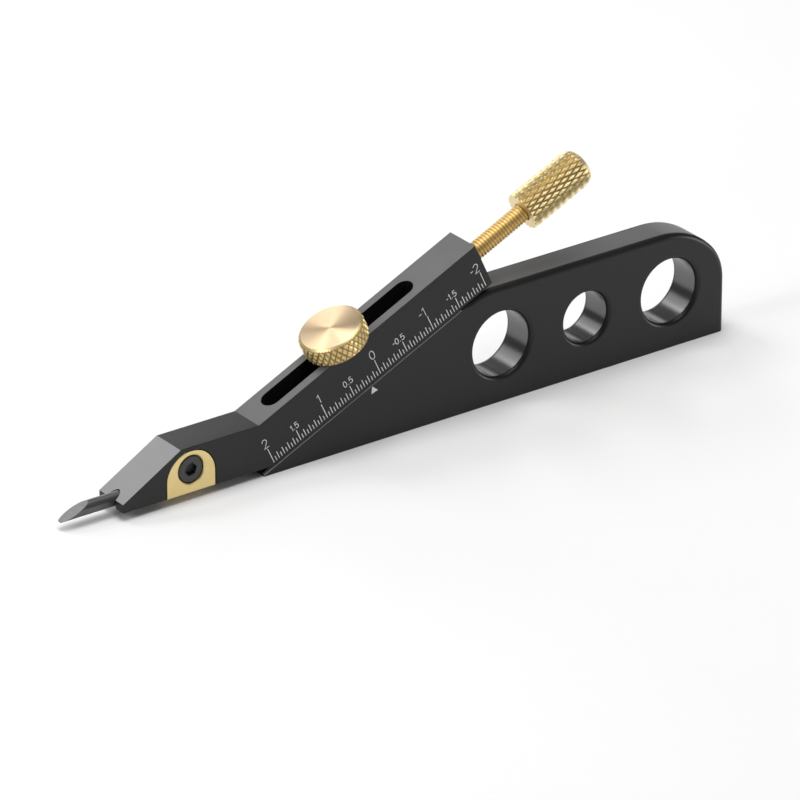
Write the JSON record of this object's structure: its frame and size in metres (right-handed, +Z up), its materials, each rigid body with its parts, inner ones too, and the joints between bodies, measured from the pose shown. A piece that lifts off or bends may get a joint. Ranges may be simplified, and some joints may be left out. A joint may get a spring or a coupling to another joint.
{
  "type": "offset marking gauge",
  "caption": "Inclined marking gauge: a slotted arm climbs a wedge base on a knob-locked stud, with a screw stop and a clamped graphite lead at its nose.",
  "frame": {"origin": "middle of the base body's underside, on its centre plane", "axes": "+X along the base to its tail, so that the lead points to -X; +Z up from the underside; -Y is the side with the scale and the lead clamp"},
  "size_m": [0.1593, 0.0138, 0.0472],
  "materials": {
    "black_anodised": "black anodised over a fine bead blast, satin",
    "brass": "turned and knurled, uncoated, satin",
    "black_steel": "black oxide",
    "graphite": "graphite, dull grey sheen"
  },
  "bodies": {
    "base": {"base_body": "black_anodised"},
    "slide": {"slide_arm": "black_anodised"},
    "lock_stud": {"lock_stud": "brass"},
    "lock_knob": {"lock_knob": "brass"},
    "adjust_rod": {"adjust_rod": "brass"},
    "adjust_head": {"adjust_head": "brass"},
    "lead_clamp": {"lead_clamp": "brass"},
    "clamp_screw": {"clamp_screw": "black_steel"},
    "graphite_lead": {"graphite_lead": "graphite"}
  },
  "joints": [
    {"name": "slide_travel", "type": "slide", "parent": "base", "child": "slide", "axis": [0.9063, 0, 0.4226], "range_m": [-0.0115, 0.017]},
    {"name": "lock_turn", "type": "hinge", "parent": "lock_stud", "child": "lock_knob", "pos_m": [-0.03655, 0, 0.02158], "axis": [-0.4226, 0, 0.9063], "range_deg": [0, 721]},
    {"name": "lock_rise", "type": "slide", "parent": "base", "child": "lock_stud", "axis": [-0.4226, 0, 0.9063], "range_m": [0, 0.0014]},
    {"name": "adjust_turn", "type": "hinge", "parent": "adjust_rod", "child": "adjust_head", "pos_m": [0.00863, 0, 0.03768], "axis": [-0.9063, 0, -0.4226], "range_deg": [-2058, 3087]},
    {"name": "adjust_advance", "type": "slide", "parent": "slide", "child": "adjust_rod", "axis": [-0.9063, 0, -0.4226], "range_m": [-0.004, 0.006]},
    {"name": "clamp_turn", "type": "hinge", "parent": "lead_clamp", "child": "clamp_screw", "pos_m": [-0.07432, -0.004, 0.00656], "axis": [0, -1, 0], "range_deg": [0, 361]},
    {"name": "clamp_release", "type": "slide", "parent": "slide", "child": "lead_clamp", "axis": [0, -1, 0], "range_m": [0, 0.0005]},
    {"name": "lead_feed", "type": "slide", "parent": "slide", "child": "graphite_lead", "axis": [-1, 0, 0], "range_m": [-0.006, 0.008]}
  ],
  "couplings": [
    {"joint": "lock_turn", "follows": "lock_rise", "rad_per_m": 8976},
    {"joint": "adjust_turn", "follows": "adjust_advance", "rad_per_m": 8976},
    {"joint": "clamp_turn", "follows": "clamp_release", "rad_per_m": 12566}
  ]
}
